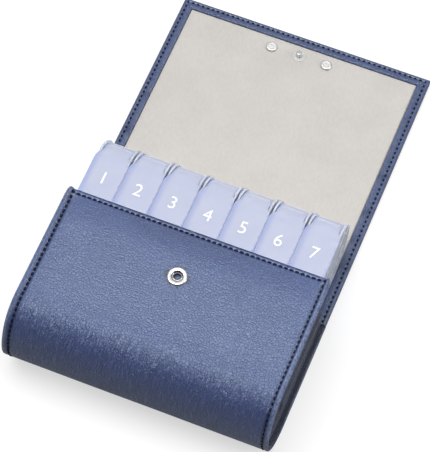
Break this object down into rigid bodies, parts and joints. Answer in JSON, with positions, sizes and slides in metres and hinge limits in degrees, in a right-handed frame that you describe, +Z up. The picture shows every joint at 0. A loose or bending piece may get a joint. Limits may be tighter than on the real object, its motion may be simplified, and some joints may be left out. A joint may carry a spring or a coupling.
{
  "type": "weekly pill organizer",
  "caption": "Soft pouch with a snap flap, lying open on its back, holding a row of long clear pill boxes with sliding lids.",
  "frame": {"origin": "middle of the base, on the surface that the pouch lies on", "axes": "+X across the pouch to the right, +Y from the pouch's rounded bottom to the open flap's far end, +Z up"},
  "size_m": [0.14, 0.2368, 0.0483],
  "materials": {
    "leather": "fine pebbled grain, satin",
    "gusset_leather": "smooth, satin",
    "lining": "matt, woven",
    "board": "matt",
    "nickel": "polished nickel",
    "pale_nylon": "satin",
    "tray_plastic": "clear smoked plastic, glossy",
    "lid_plastic": "pale frosted, semi-gloss"
  },
  "bodies": {
    "pouch": {"outer_shell": "leather", "pocket_lining": "lining", "front_board": "board", "back_board": "board", "gusset_left": "gusset_leather", "gusset_right": "gusset_leather", "socket_ring": "nickel", "socket_spring": "nickel", "socket_eyelet": "nickel"},
    "flap_low": {"low_strip_leather": "leather", "low_strip_board": "board", "low_strip_lining": "lining"},
    "flap_mid": {"mid_strip_leather": "leather", "mid_strip_board": "board", "mid_strip_lining": "lining"},
    "flap_top": {"top_strip_leather": "leather", "top_strip_board": "board", "top_strip_lining": "lining"},
    "flap_front": {"flap_leather": "leather", "flap_board": "board", "flap_lining": "lining", "flap_plate": "nickel", "stud_pin": "nickel", "stud_base": "pale_nylon", "rivet_cap_left": "nickel", "rivet_cap_right": "nickel"},
    "box_1": {"tray_1": "tray_plastic"},
    "cover_1": {"lid_1": "lid_plastic"},
    "box_2": {"tray_2": "tray_plastic"},
    "cover_2": {"lid_2": "lid_plastic"},
    "box_3": {"tray_3": "tray_plastic"},
    "cover_3": {"lid_3": "lid_plastic"},
    "box_4": {"tray_4": "tray_plastic"},
    "cover_4": {"lid_4": "lid_plastic"},
    "box_5": {"tray_5": "tray_plastic"},
    "cover_5": {"lid_5": "lid_plastic"},
    "box_6": {"tray_6": "tray_plastic"},
    "cover_6": {"lid_6": "lid_plastic"},
    "box_7": {"tray_7": "tray_plastic"},
    "cover_7": {"lid_7": "lid_plastic"}
  },
  "joints": [
    {"name": "fold_a", "type": "hinge", "parent": "pouch", "child": "flap_low", "pos_m": [0, -0.00346, 0.0034], "axis": [-1, 0, 0], "range_deg": [-45, 0]},
    {"name": "fold_b", "type": "hinge", "parent": "flap_low", "child": "flap_mid", "pos_m": [0, 0.01302, 0.0034], "axis": [-1, 0, 0], "range_deg": [-45, 0]},
    {"name": "fold_c", "type": "hinge", "parent": "flap_mid", "child": "flap_top", "pos_m": [0, 0.02991, 0.0034], "axis": [-1, 0, 0], "range_deg": [-45, 0]},
    {"name": "fold_d", "type": "hinge", "parent": "flap_top", "child": "flap_front", "pos_m": [0, 0.05346, 0.0034], "axis": [-1, 0, 0], "range_deg": [-45, 0]},
    {"name": "box_slide_1", "type": "slide", "parent": "pouch", "child": "box_1", "axis": [0, 1, 0], "range_m": [0, 0.085]},
    {"name": "lid_slide_1", "type": "slide", "parent": "box_1", "child": "cover_1", "axis": [0, 1, 0], "range_m": [0, 0.072]},
    {"name": "box_slide_2", "type": "slide", "parent": "pouch", "child": "box_2", "axis": [0, 1, 0], "range_m": [0, 0.085]},
    {"name": "lid_slide_2", "type": "slide", "parent": "box_2", "child": "cover_2", "axis": [0, 1, 0], "range_m": [0, 0.072]},
    {"name": "box_slide_3", "type": "slide", "parent": "pouch", "child": "box_3", "axis": [0, 1, 0], "range_m": [0, 0.085]},
    {"name": "lid_slide_3", "type": "slide", "parent": "box_3", "child": "cover_3", "axis": [0, 1, 0], "range_m": [0, 0.072]},
    {"name": "box_slide_4", "type": "slide", "parent": "pouch", "child": "box_4", "axis": [0, 1, 0], "range_m": [0, 0.085]},
    {"name": "lid_slide_4", "type": "slide", "parent": "box_4", "child": "cover_4", "axis": [0, 1, 0], "range_m": [0, 0.072]},
    {"name": "box_slide_5", "type": "slide", "parent": "pouch", "child": "box_5", "axis": [0, 1, 0], "range_m": [0, 0.085]},
    {"name": "lid_slide_5", "type": "slide", "parent": "box_5", "child": "cover_5", "axis": [0, 1, 0], "range_m": [0, 0.072]},
    {"name": "box_slide_6", "type": "slide", "parent": "pouch", "child": "box_6", "axis": [0, 1, 0], "range_m": [0, 0.085]},
    {"name": "lid_slide_6", "type": "slide", "parent": "box_6", "child": "cover_6", "axis": [0, 1, 0], "range_m": [0, 0.072]},
    {"name": "box_slide_7", "type": "slide", "parent": "pouch", "child": "box_7", "axis": [0, 1, 0], "range_m": [0, 0.085]},
    {"name": "lid_slide_7", "type": "slide", "parent": "box_7", "child": "cover_7", "axis": [0, 1, 0], "range_m": [0, 0.072]}
  ]
}
